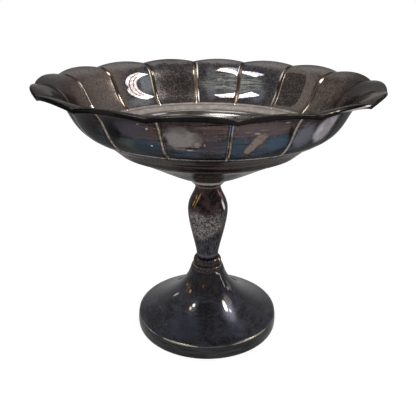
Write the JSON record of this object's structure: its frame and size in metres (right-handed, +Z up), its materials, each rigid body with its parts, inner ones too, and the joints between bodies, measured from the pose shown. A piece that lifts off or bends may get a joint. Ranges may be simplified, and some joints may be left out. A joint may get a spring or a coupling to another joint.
{
  "type": "footed compote bowl",
  "caption": "Footed compote bowl: wide fluted bowl, its scalloped edge rolled round a wire, on a baluster stem and trumpet foot, in dark tarnished plate.",
  "frame": {"origin": "middle of the foot's underside, on the table", "axes": "+Z up along the axis of the bowl, stem and foot; +Y through a notch of the rim"},
  "size_m": [0.2322, 0.2322, 0.191],
  "materials": {
    "bowl_plate": "tarnished plate, worn bright on the ribs",
    "edge_wire": "plain drawn wire, hidden in the rolled edge",
    "ring_plate": "tarnished plate, worn at the edges",
    "stem_plate": "glossy dark tarnish with a worn silvery patch",
    "foot_plate": "glossy blue-black tarnish with a worn crease",
    "bare_brass": "bare turned metal",
    "steel": "dull plain steel"
  },
  "bodies": {
    "root": {"bowl": "bowl_plate", "rim_wire": "edge_wire", "collar": "ring_plate", "neck_ring": "ring_plate", "bowl_boss": "bare_brass", "stem": "stem_plate", "knop_ring": "stem_plate", "foot_ring": "ring_plate", "foot": "foot_plate", "tie_rod": "steel", "washer": "steel", "nut": "steel"}
  },
  "joints": []
}
